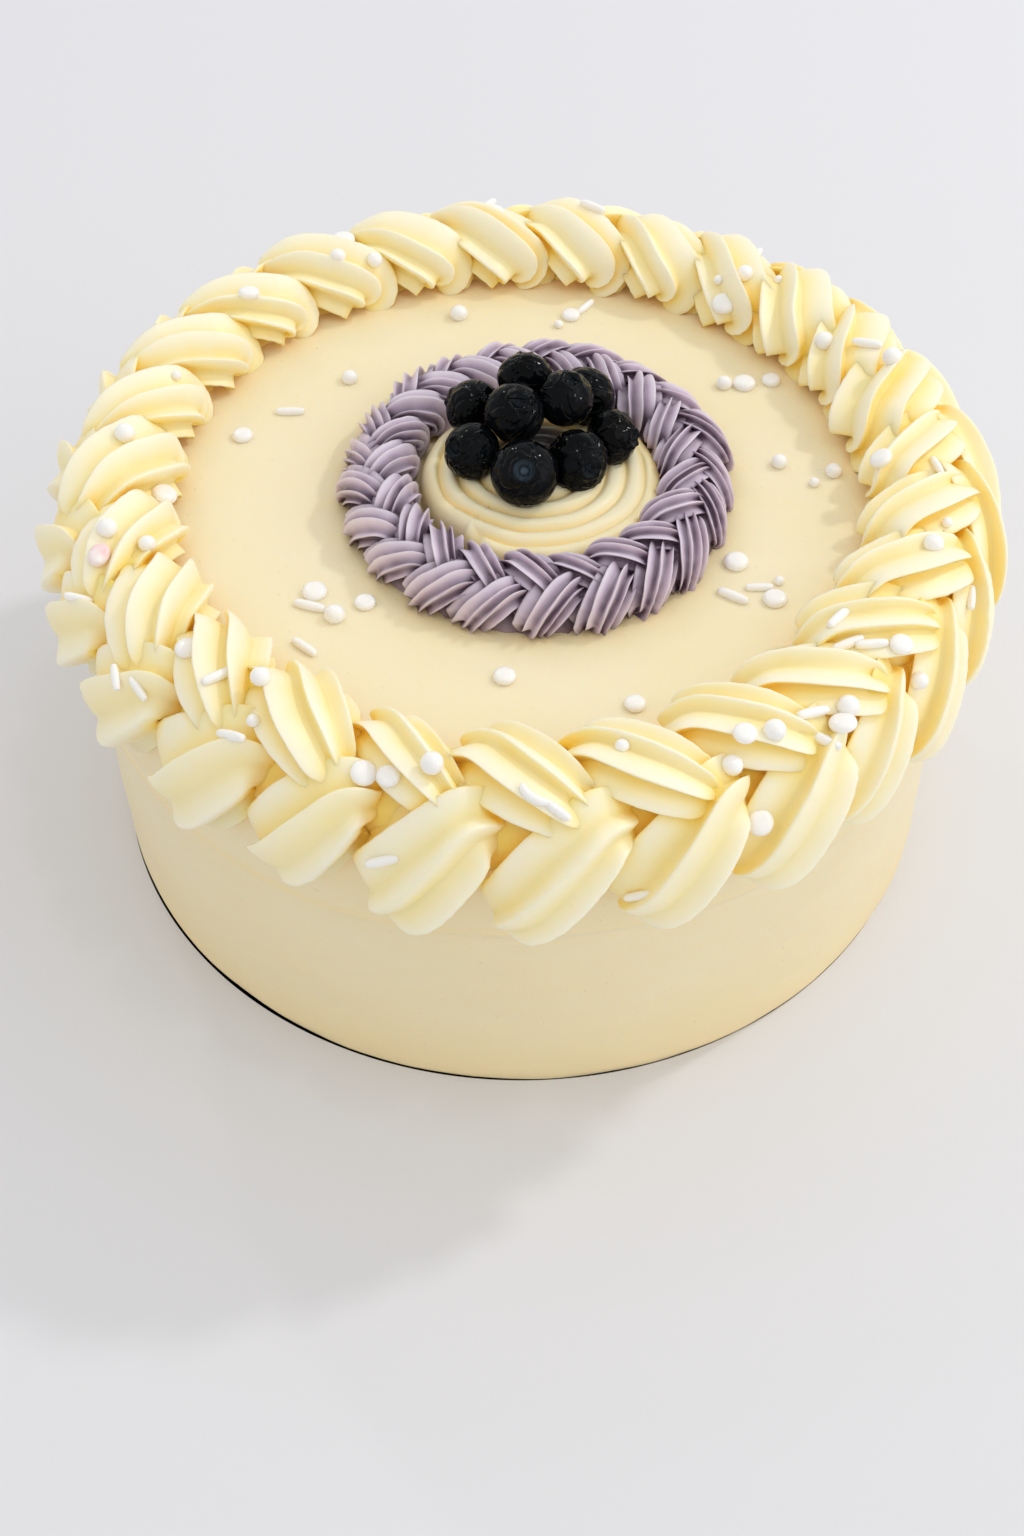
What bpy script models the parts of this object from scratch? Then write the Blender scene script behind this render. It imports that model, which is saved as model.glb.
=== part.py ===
"""A round layer cake finished with piped buttercream, modelled in Blender 4.5.

Units are metres and +Z is up. The origin is the middle of the cake's flat underside, and -Y is
the side that faces the viewer. Each piece of the cake is one object: the iced cake, the braided
border, the small braided ring, the swirl and nine blueberries. Sprinkles are fused to the piece
that they lie on.
"""
import math
import random
from dataclasses import dataclass

import bmesh
import bpy
from mathutils import Euler, Vector, noise
from mathutils.bvhtree import BVHTree

MM = 0.001
GAP = 0.3 * MM

# The iced cake: a 205 mm round, 90 mm high
CAKE_RADIUS = 102.5 * MM
CAKE_HEIGHT = 90.0 * MM
TOP_EDGE_RADIUS = 5.0 * MM
BOTTOM_EDGE = 1.2 * MM
LEDGE_DEPTH = 0.7 * MM
LEDGE_HEIGHT = 64.0 * MM
LEDGE_RUN = 4.0 * MM
CAKE_STEPS = 68
EDGE_STEPS = 3

# The middle decoration sits a little to the right of the cake's middle
MIDDLE_X = 3.5 * MM
MIDDLE_Y = -1.0 * MM

# The swirl: a low disc of cream with a spiral ridge
SWIRL_RADIUS = 29.0 * MM
SWIRL_EDGE_HEIGHT = 6.0 * MM
SWIRL_MIDDLE_HEIGHT = 7.6 * MM
SWIRL_MOUND_HEIGHT = 7.0 * MM
SWIRL_MOUND_RADIUS = 13.0 * MM
SWIRL_PITCH = 4.2 * MM
SWIRL_RIDGE = 1.1 * MM
SWIRL_RINGS = 15
SWIRL_STEPS = 40
SWIRL_RIDGE_LEVEL = 0.7
SWIRL_FOOT_SHARE = 0.985
SWIRL_SIDE_SHARE = 0.5
SWIRL_TOP_SHARE = 0.6
SWIRL_BERRY_CLEARANCE = 0.8 * MM

# Blueberries: place from the cake's middle, radius, and the way the crown faces, in millimetres
# and degrees, then how flat each one is
BERRIES = (
    ("blueberry_1", (-10.9, 13.3, 102.9), 5.9, (150, 10), 0.94),
    ("blueberry_2", (-11.0, -2.3, 102.9), 6.2, (215, 35), 0.93),
    ("blueberry_3", (-1.6, 3.2, 109.2), 6.0, (290, 62), 0.95),
    ("blueberry_4", (0.7, -12.0, 104.6), 7.2, (268, 46), 0.93),
    ("blueberry_5", (12.5, -5.1, 102.4), 6.1, (300, 20), 0.90),
    ("blueberry_6", (20.3, 4.2, 101.6), 5.6, (340, 15), 0.88),
    ("blueberry_7", (0.8, 16.1, 109.5), 6.1, (95, 30), 0.94),
    ("blueberry_8", (9.8, 7.6, 109.9), 5.6, (330, 75), 0.95),
    ("blueberry_9", (14.9, 17.7, 102.7), 6.2, (60, 10), 0.93),
)
BERRY_SIDES = 12
BERRY_RINGS = 9
BERRY_WRINKLE = 0.015
BERRY_WRINKLE_SCALE = 2.3
BERRY_WRINKLE_SHIFT = 40.0
CROWN_RIM = 1.05
CROWN_PIT = 0.72

# Sprinkles: half sizes, the share of each kind, and where they lie as groups of azimuth in
# degrees, distance from the middle in millimetres and number
SPRINKLE_SEED = 11
SPRINKLE_KINDS = ("disc", "pearl", "rod", "bead")
SPRINKLE_SHARES = (4, 5, 5, 2)
SPRINKLE_HALF_SIZES = {
    "disc": (2.6 * MM, 2.6 * MM, 1.2 * MM),
    "pearl": (2.1 * MM, 2.1 * MM, 1.9 * MM),
    "rod": (3.3 * MM, 1.0 * MM, 1.0 * MM),
    "bead": (1.3 * MM, 1.3 * MM, 1.2 * MM),
}
SPRINKLE_SPREAD = 4.6 * MM
SPRINKLE_APART = 4.4 * MM
SPRINKLE_SINK = 0.25
SPRINKLE_DROP_HEIGHT = 0.2
SPRINKLE_TRIES = 40
SPRINKLE_LEAST_UPRIGHT = 0.25
SPRINKLE_RINGS = 3
DISC_SIDES = 7
SPRINKLE_SIDES = 6
ROD_BLUNTNESS = 1.7
BORDER_SPRINKLES = (
    (-88, 104, 3), (-104, 98, 4), (-126, 97, 4), (-141, 100, 3), (-157, 94, 4), (-177, 86, 2),
    (160, 82, 2), (138, 95, 1), (119, 86, 5), (93, 99, 2), (74, 90, 1), (50, 89, 5), (32, 82, 2),
    (18, 90, 2), (-2, 88, 2), (-18, 96, 3), (-40, 94, 5), (-53, 102, 4), (-65, 102, 4), (-77, 104, 2),
)
TOP_SPRINKLES = (
    (137, 63, 1), (106, 64, 1), (79, 69, 3), (35, 68, 3), (7, 64, 3), (-34, 61, 5), (-73, 66, 1),
    (-94, 64, 1), (-138, 61, 5), (171, 66, 1), (160, 62, 1),
)


@dataclass(frozen=True)
class PipedRing:
    """A ring of reverse shells: two rows whose tails meet along one circle.

    Lengths are in metres and angles in degrees. Each shell has `ridges` ridges. `start` is the
    azimuth of the first shell, and `crowding` and `crowded_at` say how the shells bunch up on
    one side. A ring with an overhang goes over the cake's edge and down its side by `droop`.
    """

    centre: tuple
    radius: float
    reach: float
    rise: float
    pairs: int
    ridges: int
    outer_sweep: float
    inner_sweep: float
    start: float
    crowding: float
    crowded_at: float
    droop: float
    crown_points: int
    seed: int


BORDER = PipedRing(
    centre=(0.0, 0.0), radius=92.0 * MM, reach=19.0 * MM, rise=15.0 * MM, pairs=26, ridges=3,
    outer_sweep=14.0, inner_sweep=7.5, start=93.8, crowding=4.1, crowded_at=175.5,
    droop=20.0 * MM, crown_points=12, seed=3,
)
SMALL_RING = PipedRing(
    centre=(MIDDLE_X, MIDDLE_Y), radius=38.3 * MM, reach=7.9 * MM, rise=10.5 * MM, pairs=21,
    ridges=3, outer_sweep=12.0, inner_sweep=7.0, start=90.0, crowding=0.0, crowded_at=0.0,
    droop=0.0, crown_points=8, seed=5,
)
CREASE = 0.32
VALLEY = 0.16
RIDGE_FALL = 0.05
RING_WOBBLE = 0.035
LOWEST_OVERHANG_ANGLE = -78.0
OVERHANG_POWER = 0.6
SECTION_POWER = 0.85
SWEEP_POWER = 0.85


def clear_scene():
    """Remove the objects of the open scene."""
    for old in list(bpy.data.objects):
        bpy.data.objects.remove(old, do_unlink=True)


def new_collection(name):
    """Make a collection in the scene and return it."""
    collection = bpy.data.collections.new(name)
    bpy.context.scene.collection.children.link(collection)
    return collection


def material(name, colour, roughness, subsurface=0.0):
    """Return a Principled material of one colour."""
    made = bpy.data.materials.new(name)
    made.use_nodes = True
    shader = made.node_tree.nodes["Principled BSDF"]
    shader.inputs["Base Color"].default_value = (*colour, 1.0)
    shader.inputs["Roughness"].default_value = roughness
    shader.inputs["Metallic"].default_value = 0.0
    shader.inputs["Subsurface Weight"].default_value = subsurface
    return made


def place(name, mesh, finish, collection):
    """Put a mesh in a collection as an object with one material."""
    for polygon in mesh.polygons:
        polygon.use_smooth = True
    mesh.materials.clear()
    mesh.materials.append(finish)
    made = bpy.data.objects.new(name, mesh)
    collection.objects.link(made)
    return made


def applied(made, name):
    """Return a copy of an object's mesh with its modifiers applied, and remove the object."""
    bpy.context.view_layer.update()
    graph = bpy.context.evaluated_depsgraph_get()
    mesh = bpy.data.meshes.new_from_object(made.evaluated_get(graph))
    mesh.name = name
    bpy.data.objects.remove(made, do_unlink=True)
    return mesh


def turned(name, profile, steps):
    """Turn a profile of (radius, height) points about Z and return the mesh."""
    mesh = bpy.data.meshes.new(name)
    points = [(radius, 0.0, height) for radius, height in profile]
    edges = [(i, i + 1) for i in range(len(points) - 1)]
    mesh.from_pydata(points, edges, [])
    made = bpy.data.objects.new(name, mesh)
    bpy.context.scene.collection.objects.link(made)
    screw = made.modifiers.new("turn", "SCREW")
    screw.axis = "Z"
    screw.angle = math.tau
    screw.steps = steps
    screw.render_steps = steps
    screw.use_merge_vertices = True
    screw.merge_threshold = 0.01 * MM
    return applied(made, name)


def cake_mesh():
    """Return the iced cake: flat top, rounded edge, and a low ledge round the side."""
    profile = [(0.0, CAKE_HEIGHT), (CAKE_RADIUS - TOP_EDGE_RADIUS, CAKE_HEIGHT)]
    for i in range(1, EDGE_STEPS + 1):
        turn = 0.5 * math.pi * i / EDGE_STEPS
        radius = CAKE_RADIUS - TOP_EDGE_RADIUS * (1.0 - math.sin(turn))
        height = CAKE_HEIGHT - TOP_EDGE_RADIUS * (1.0 - math.cos(turn))
        profile.append((radius, height))
    profile.append((CAKE_RADIUS, LEDGE_HEIGHT + LEDGE_RUN))
    profile.append((CAKE_RADIUS - LEDGE_DEPTH, LEDGE_HEIGHT))
    profile.append((CAKE_RADIUS, BOTTOM_EDGE))
    profile.append((CAKE_RADIUS - BOTTOM_EDGE, 0.0))
    profile.append((0.0, 0.0))
    return turned("cake_body", profile, CAKE_STEPS)


def column_fullness(ring, column, offset, wobbles):
    """Return how far a column of a ring reaches: 1 on a ridge, less in a valley or a crease.

    Args:
        ring: the ring's sizes.
        column: the column's number round the ring.
        offset: how many columns this row of shells lies behind the other row.
        wobbles: a number from -1 to 1 for each shell, which makes it larger or smaller.
    """
    per_shell = 2 * ring.ridges
    place_in_shell = (column + offset) % per_shell
    shell = (column + offset) // per_shell % ring.pairs
    wobble = 1.0 + RING_WOBBLE * wobbles[shell]
    if place_in_shell == 0:
        return (1.0 - CREASE) * wobble
    if place_in_shell % 2 == 0:
        return (1.0 - VALLEY) * wobble
    return (1.0 - RIDGE_FALL * (place_in_shell // 2)) * wobble


def signed_power(value, power):
    """Raise the size of a value to a power and keep its sign."""
    return math.copysign(abs(value) ** power, value)


def section_point(ring, turn, fullness):
    """Return the radius and height of a ring's section at an angle, in degrees.

    An angle of 180 is the inner edge, 90 the top, 0 the outer edge, and below 0 the part that
    hangs down the cake's side.
    """
    angle = math.radians(turn)
    floor = CAKE_HEIGHT + GAP
    if turn >= 0.0:
        radius = ring.radius + ring.reach * fullness * signed_power(math.cos(angle), SECTION_POWER)
        height = floor + ring.rise * fullness * abs(math.sin(angle)) ** SECTION_POWER
        return radius, height
    wall = CAKE_RADIUS + GAP
    overhang = ring.radius + ring.reach * fullness - wall
    radius = wall + overhang * math.cos(angle) ** OVERHANG_POWER
    height = floor + ring.droop * fullness * math.sin(angle)
    return radius, height


def sweep_at(ring, turn):
    """Return how far behind its tail a shell lies at a section angle, in degrees."""
    if turn <= 0.0:
        return ring.outer_sweep
    sweep = ring.outer_sweep if turn < 90.0 else ring.inner_sweep
    return sweep * abs(math.cos(math.radians(turn))) ** SWEEP_POWER


def ring_mesh(name, ring):
    """Return a piped ring: a torus whose columns follow the ridges of the shells.

    Args:
        name: the mesh's name.
        ring: the ring's sizes.
    """
    rng = random.Random(ring.seed)
    outer_wobbles = [rng.uniform(-1.0, 1.0) for _ in range(ring.pairs)]
    inner_wobbles = [rng.uniform(-1.0, 1.0) for _ in range(ring.pairs)]
    columns = 2 * ring.ridges * ring.pairs
    lowest = LOWEST_OVERHANG_ANGLE if ring.droop > 0.0 else 0.0
    step = (180.0 - lowest) / (ring.crown_points - 1)
    turns = [lowest + step * i for i in range(ring.crown_points)]
    floor = CAKE_HEIGHT + GAP
    wall = CAKE_RADIUS + GAP
    feet = 2 if ring.droop > 0.0 else 1
    rows = ring.crown_points + feet
    bpy.ops.mesh.primitive_torus_add(major_segments=columns, minor_segments=rows,
                                     major_radius=ring.radius, minor_radius=ring.rise)
    torus = bpy.context.active_object
    mesh = torus.data
    for column in range(columns):
        even = ring.start + 360.0 * column / columns
        azimuth = even + ring.crowding * math.sin(math.radians(even - ring.crowded_at))
        outer = column_fullness(ring, column, 0, outer_wobbles)
        inner = column_fullness(ring, column, 2 * (ring.ridges // 2), inner_wobbles)
        points = []
        for turn in turns:
            share = 0.5 - 0.5 * math.cos(math.radians(min(max(turn, 0.0), 180.0)))
            fullness = outer + (inner - outer) * share
            radius, height = section_point(ring, turn, fullness)
            points.append((radius, height, azimuth - sweep_at(ring, turn)))
        if feet == 2:
            points.append((wall, floor, azimuth - ring.outer_sweep))
            points.append((wall, points[0][1] + GAP, azimuth - ring.outer_sweep))
        else:
            points.append((ring.radius, floor, azimuth))
        for row, (radius, height, angle) in enumerate(points):
            along = math.radians(angle)
            vertex = mesh.vertices[column * rows + row]
            vertex.co = Vector((ring.centre[0] + radius * math.cos(along),
                                ring.centre[1] + radius * math.sin(along), height))
    return applied(torus, name)


def swirl_mesh(berries):
    """Return the swirl: a turned disc whose top carries a spiral ridge and beds the berries.

    Args:
        berries: (middle, radius) of each blueberry that rests on it.
    """
    foot = CAKE_HEIGHT + GAP
    profile = [(0.0, foot + SWIRL_MIDDLE_HEIGHT)]
    for i in range(1, SWIRL_RINGS):
        profile.append((SWIRL_RADIUS * i / SWIRL_RINGS, foot + SWIRL_MIDDLE_HEIGHT))
    profile.append((SWIRL_RADIUS, foot + SWIRL_SIDE_SHARE * SWIRL_EDGE_HEIGHT))
    profile.append((SWIRL_RADIUS * SWIRL_FOOT_SHARE, foot))
    profile.append((0.0, foot))
    mesh = turned("cream_swirl", profile, SWIRL_STEPS)
    for vertex in mesh.vertices:
        x, y, z = vertex.co
        if z > foot + SWIRL_TOP_SHARE * SWIRL_EDGE_HEIGHT:
            radius = math.hypot(x, y)
            share = radius / SWIRL_RADIUS
            height = SWIRL_MIDDLE_HEIGHT + (SWIRL_EDGE_HEIGHT - SWIRL_MIDDLE_HEIGHT) * share ** 2
            height += SWIRL_MOUND_HEIGHT * math.exp(-(radius / SWIRL_MOUND_RADIUS) ** 4)
            turn = radius / SWIRL_PITCH - math.atan2(y, x) / math.tau
            z = foot + height + SWIRL_RIDGE * (abs(math.sin(math.pi * turn)) - SWIRL_RIDGE_LEVEL)
        x += MIDDLE_X
        y += MIDDLE_Y
        for middle, radius in berries:
            reach = radius + SWIRL_BERRY_CLEARANCE
            apart = math.hypot(x - middle.x, y - middle.y)
            if apart < reach:
                z = min(z, middle.z - math.sqrt(reach ** 2 - apart ** 2))
        vertex.co = (x, y, z)
    return mesh


def berry_mesh(name, middle, radius, crown, flatness):
    """Return a blueberry: a wrinkled, slightly flat ball with a sunken crown at one end."""
    made = bmesh.new()
    bmesh.ops.create_uvsphere(made, u_segments=BERRY_SIDES, v_segments=BERRY_RINGS, radius=1.0)
    azimuth, lift = (math.radians(angle) for angle in crown)
    axis = Vector((math.cos(lift) * math.cos(azimuth), math.cos(lift) * math.sin(azimuth),
                   math.sin(lift)))
    turn = axis.to_track_quat("Z", "Y")
    below_rim = math.cos(1.5 * math.pi / BERRY_RINGS)
    below_pole = math.cos(0.5 * math.pi / BERRY_RINGS)
    for vertex in made.verts:
        point = vertex.co.copy()
        spot = point * BERRY_WRINKLE_SCALE + middle * BERRY_WRINKLE_SHIFT
        size = 1.0 + BERRY_WRINKLE * noise.noise(spot)
        if point.z > below_pole:
            size *= CROWN_PIT
        elif point.z > below_rim:
            size *= CROWN_RIM
        point = point * size * radius
        point.z *= flatness
        vertex.co = turn @ point + middle
    mesh = bpy.data.meshes.new(name)
    made.to_mesh(mesh)
    made.free()
    return mesh


def sprinkle_places(groups, rng):
    """Draw the sprinkles of some groups.

    Args:
        groups: azimuth in degrees, distance in millimetres and number, for each group.
        rng: the seeded random source.

    Returns:
        A list of (kind, x, y, turn), with no two closer than SPRINKLE_APART.
    """
    taken = []
    for azimuth, distance, number in groups:
        angle = math.radians(azimuth)
        for _ in range(number):
            kind = rng.choices(SPRINKLE_KINDS, SPRINKLE_SHARES)[0]
            turn = rng.uniform(0.0, math.tau)
            for _ in range(SPRINKLE_TRIES):
                x = distance * MM * math.cos(angle) + rng.gauss(0.0, SPRINKLE_SPREAD)
                y = distance * MM * math.sin(angle) + rng.gauss(0.0, SPRINKLE_SPREAD)
                if all(math.hypot(x - t[1], y - t[2]) > SPRINKLE_APART for t in taken):
                    taken.append((kind, x, y, turn))
                    break
    return taken


def sprinkle_mesh(name, kind):
    """Return one sprinkle, lying flat about the origin."""
    sides = DISC_SIDES if kind == "disc" else SPRINKLE_SIDES
    made = bmesh.new()
    bmesh.ops.create_uvsphere(made, u_segments=sides, v_segments=SPRINKLE_RINGS, radius=1.0)
    for vertex in made.verts:
        if kind == "rod":
            along = math.copysign(min(abs(vertex.co.z) * ROD_BLUNTNESS, 1.0), vertex.co.z)
            vertex.co = Vector((along, vertex.co.x, vertex.co.y))
        vertex.co = Vector(a * b for a, b in zip(vertex.co, SPRINKLE_HALF_SIZES[kind]))
    mesh = bpy.data.meshes.new(name)
    made.to_mesh(mesh)
    made.free()
    return mesh


def fuse_sprinkles(carrier, places):
    """Join sprinkles to the object that they lie on with one Boolean union.

    Args:
        carrier: the object, whose mesh takes the sprinkles.
        places: what sprinkle_places returned.
    """
    ground = bmesh.new()
    ground.from_mesh(carrier.data)
    tree = BVHTree.FromBMesh(ground)
    ground.free()
    collection = new_collection("sprinkles_on_" + carrier.name)
    for number, (kind, x, y, turn) in enumerate(places):
        above = Vector((x, y, SPRINKLE_DROP_HEIGHT))
        hit, normal, _, _ = tree.ray_cast(above, Vector((0.0, 0.0, -1.0)))
        if hit is None or normal.z < SPRINKLE_LEAST_UPRIGHT:
            continue
        half_height = SPRINKLE_HALF_SIZES[kind][2]
        made = bpy.data.objects.new(f"sprinkle_{number}", sprinkle_mesh(f"sprinkle_{number}", kind))
        made.rotation_mode = "QUATERNION"
        lie = normal.to_track_quat("Z", "Y")
        made.rotation_quaternion = lie @ Euler((0.0, 0.0, turn)).to_quaternion()
        made.location = hit + normal * half_height * (1.0 - 2.0 * SPRINKLE_SINK)
        collection.objects.link(made)
    union = carrier.modifiers.new("sprinkles", "BOOLEAN")
    union.operation = "UNION"
    union.solver = "EXACT"
    union.operand_type = "COLLECTION"
    union.collection = collection
    bpy.context.view_layer.update()
    graph = bpy.context.evaluated_depsgraph_get()
    joined = bpy.data.meshes.new_from_object(carrier.evaluated_get(graph))
    carrier.modifiers.clear()
    carrier.data = joined
    for made in list(collection.objects):
        bpy.data.objects.remove(made, do_unlink=True)
    bpy.data.collections.remove(collection)


def build():
    """Build the whole cake in a collection of its own."""
    clear_scene()
    cake = new_collection("layer_cake")
    icing = material("cake_icing", (0.90, 0.78, 0.50), 0.55, 0.2)
    border_cream = material("border_cream", (0.93, 0.80, 0.42), 0.5, 0.2)
    lavender_cream = material("lavender_cream", (0.36, 0.31, 0.44), 0.5, 0.2)
    swirl_cream = material("swirl_cream", (0.91, 0.80, 0.48), 0.5, 0.2)
    berry_skin = material("berry_skin", (0.012, 0.016, 0.03), 0.25)

    rng = random.Random(SPRINKLE_SEED)
    body = place("cake_body", cake_mesh(), icing, cake)
    fuse_sprinkles(body, sprinkle_places(TOP_SPRINKLES, rng))
    border = place("yellow_border", ring_mesh("yellow_border", BORDER), border_cream, cake)
    fuse_sprinkles(border, sprinkle_places(BORDER_SPRINKLES, rng))
    place("lavender_border", ring_mesh("lavender_border", SMALL_RING), lavender_cream, cake)

    beds = []
    for name, spot, radius, crown, flatness in BERRIES:
        middle = Vector(spot) * MM
        beds.append((middle, radius * MM))
        mesh = berry_mesh(name, middle, radius * MM, crown, flatness)
        place(name, mesh, berry_skin, cake)
    place("cream_swirl", swirl_mesh(beds), swirl_cream, cake)


build()
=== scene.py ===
"""The looks of a round layer cake finished with piped buttercream, for Blender 4.5.

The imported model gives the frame: its nodes say where each piece of the cake lies. Every piece
here is a finely made mesh that stands for one node, or for the sprinkles that lie on it. Lengths
are in metres and +Z is up. The viewer looks along +Y and down.
"""
import logging
import math
import random
from dataclasses import dataclass, field, replace
from enum import Enum

import bpy
import numpy as np
from mathutils import Euler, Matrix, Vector
from mathutils.bvhtree import BVHTree


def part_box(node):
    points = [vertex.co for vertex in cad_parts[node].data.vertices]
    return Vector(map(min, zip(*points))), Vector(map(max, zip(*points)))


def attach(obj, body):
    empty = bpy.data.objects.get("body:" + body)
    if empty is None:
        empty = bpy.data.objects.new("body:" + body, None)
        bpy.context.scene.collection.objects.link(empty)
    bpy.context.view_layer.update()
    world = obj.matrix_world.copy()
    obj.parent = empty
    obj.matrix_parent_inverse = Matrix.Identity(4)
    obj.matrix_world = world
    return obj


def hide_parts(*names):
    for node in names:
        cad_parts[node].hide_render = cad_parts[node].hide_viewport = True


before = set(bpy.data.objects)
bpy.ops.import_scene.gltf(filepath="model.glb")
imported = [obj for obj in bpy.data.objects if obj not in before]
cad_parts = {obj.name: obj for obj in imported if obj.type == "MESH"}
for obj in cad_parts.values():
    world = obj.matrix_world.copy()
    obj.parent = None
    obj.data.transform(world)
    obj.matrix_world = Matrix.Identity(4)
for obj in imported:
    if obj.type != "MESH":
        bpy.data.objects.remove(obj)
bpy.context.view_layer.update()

log = logging.getLogger("cake")

MM = 0.001
ROOT_BODY = "root"
Colour = tuple[float, float, float]
Spot = tuple[float, float, float]
Sockets = dict[str | int, float | tuple[float, ...] | bpy.types.NodeSocket]

# The cake's own sizes and the middle of the small ring
BODY_LOW, BODY_HIGH = (Vector(corner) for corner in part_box("cake_body"))
CAKE_RADIUS = 0.5 * (BODY_HIGH.x - BODY_LOW.x)
CAKE_HEIGHT = 90.0 * MM
TOP_EDGE_RADIUS = 5.0 * MM
RING_LOW, RING_HIGH = (Vector(corner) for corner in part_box("lavender_border"))
MIDDLE = Vector((0.5 * (RING_LOW.x + RING_HIGH.x), 0.5 * (RING_LOW.y + RING_HIGH.y), 0.0))

# Painted occlusion shade: how a point looks out for what stands close to it, and the evening out
LOOK_SEED = 17
LOOK_SPREAD = 0.92
LOOK_LIFT = 0.25
EVEN_ROUNDS = 4
EVEN_KEPT, EVEN_TAKEN = 0.4, 0.6


def smooth_noise(places: np.ndarray, seed: int, octaves: int = 3) -> np.ndarray:
    """Return smooth noise from sums of seeded waves, about -1 to 1.

    Args:
        places: points as an array whose last axis has three values, one unit a wave.
        seed: the seed of the waves' directions and phases.
        octaves: how many times the waves get finer.

    Returns:
        An array of the shape of `places` without its last axis.
    """
    rng = np.random.default_rng(seed)
    total = np.zeros(places.shape[:-1])
    size = 1.0
    for octave in range(octaves):
        for _ in range(6):
            direction = rng.normal(size=3)
            direction *= 2.0 ** octave / np.linalg.norm(direction) * rng.uniform(0.7, 1.3)
            total += size * np.sin(places @ direction * math.tau + rng.uniform(0.0, math.tau))
        size *= 0.5
    return total / 4.0


def through(knots: tuple[float, ...], along: np.ndarray) -> np.ndarray:
    """Return a smooth curve through evenly spaced values.

    Args:
        knots: the values at 0, ..., 1.
        along: places from 0 to 1.

    Returns:
        The curve's values there.
    """
    values = np.array(knots, float)
    last = len(values) - 1
    slopes = np.gradient(values)
    spot = np.clip(along * last, 0.0, last - 1e-9)
    low = spot.astype(int)
    t = spot - low
    a, b = values[low], values[low + 1]
    da, db = slopes[low], slopes[low + 1]
    return ((2 * t ** 3 - 3 * t ** 2 + 1) * a + (t ** 3 - 2 * t ** 2 + t) * da
            + (3 * t ** 2 - 2 * t ** 3) * b + (t ** 3 - t ** 2) * db)


def unit(vectors: np.ndarray) -> np.ndarray:
    """Return vectors at a length of one."""
    return vectors / np.maximum(np.linalg.norm(vectors, axis=-1, keepdims=True), 1e-12)


def level_ways(turn: np.ndarray) -> np.ndarray:
    """Return level vectors of length one at some turns in radians."""
    return np.stack([np.cos(turn), np.sin(turn), 0.0 * turn], axis=-1)


def vertex_vectors(mesh: bpy.types.Mesh, name: str) -> np.ndarray:
    """Return the "co" or the "normal" of a mesh's points."""
    flat = np.empty(len(mesh.vertices) * 3)
    mesh.vertices.foreach_get(name, flat)
    return flat.reshape(-1, 3)


def painted_shade_and_bloom_of(mesh: bpy.types.Mesh) -> np.ndarray:
    """Return the painted shade at each of a mesh's points; on a berry, its bloom."""
    values = np.empty(len(mesh.vertices))
    mesh.attributes["painted_shade_and_bloom"].data.foreach_get("value", values)
    return values


def set_painted_shade_and_bloom(mesh: bpy.types.Mesh, values: np.ndarray) -> None:
    """Write the painted shade at each of a mesh's points; on a berry, its bloom."""
    mesh.attributes["painted_shade_and_bloom"].data.foreach_set("value", values.astype(np.float32))


@dataclass
class MeshBatch:
    """Gathers grids of points into one mesh, each with its painted shade (on berries, bloom)."""

    points: list[np.ndarray] = field(default_factory=list)
    values: list[np.ndarray] = field(default_factory=list)
    faces: list[tuple[int, ...]] = field(default_factory=list)
    count: int = 0

    def add_points(self, points: np.ndarray, values: np.ndarray) -> int:
        """Add loose points and return the number of the first one."""
        first = self.count
        self.points.append(points.reshape(-1, 3))
        self.values.append(values.reshape(-1))
        self.count += len(self.points[-1])
        return first

    def add_tube(self, points: np.ndarray, values: np.ndarray) -> None:
        """Add a closed tube whose ends come to a point.

        Args:
            points: rings of points, as (rings, points round, 3).
            values: a value for each point.
        """
        rings, around, _ = points.shape
        ring, ahead = points[rings // 2], points[rings // 2 + 1]
        facing = np.cross(np.roll(ring, -1, axis=0) - ring, ahead - ring)
        if np.sum(facing * (ring - ring.mean(axis=0))) < 0.0:
            points, values = points[:, ::-1], values[:, ::-1]
        first = self.add_points(points, values)
        ends = np.array([points[0].mean(axis=0), points[-1].mean(axis=0)])
        caps = self.add_points(ends, np.array([values[0].mean(), values[-1].mean()]))
        for ring in range(rings - 1):
            row = first + ring * around
            for i in range(around):
                j = (i + 1) % around
                self.faces.append((row + i, row + j, row + around + j, row + around + i))
        last = first + (rings - 1) * around
        for i in range(around):
            j = (i + 1) % around
            self.faces.append((caps, first + j, first + i))
            self.faces.append((caps + 1, last + i, last + j))

    def build(self, name: str, finish: bpy.types.Material) -> bpy.types.Object:
        """Make the object, smooth and with its finish.

        Args:
            name: the piece's name.
            finish: its material.

        Returns:
            The new object, at the origin.
        """
        mesh = bpy.data.meshes.new(name)
        mesh.from_pydata(np.concatenate(self.points).tolist(), [], self.faces)
        mesh.polygons.foreach_set("use_smooth", np.ones(len(mesh.polygons), bool))
        # Painted shade for the cream's finish, and bloom for a berry's
        mesh.attributes.new("painted_shade_and_bloom", "FLOAT", "POINT")
        set_painted_shade_and_bloom(mesh, np.concatenate(self.values))
        mesh.materials.append(finish)
        mesh.update()
        piece = bpy.data.objects.new(name, mesh)
        bpy.context.scene.collection.objects.link(piece)
        return piece

    def tree(self) -> BVHTree:
        """Return a search tree of the gathered faces."""
        return BVHTree.FromPolygons(np.concatenate(self.points).tolist(), self.faces)


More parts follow.
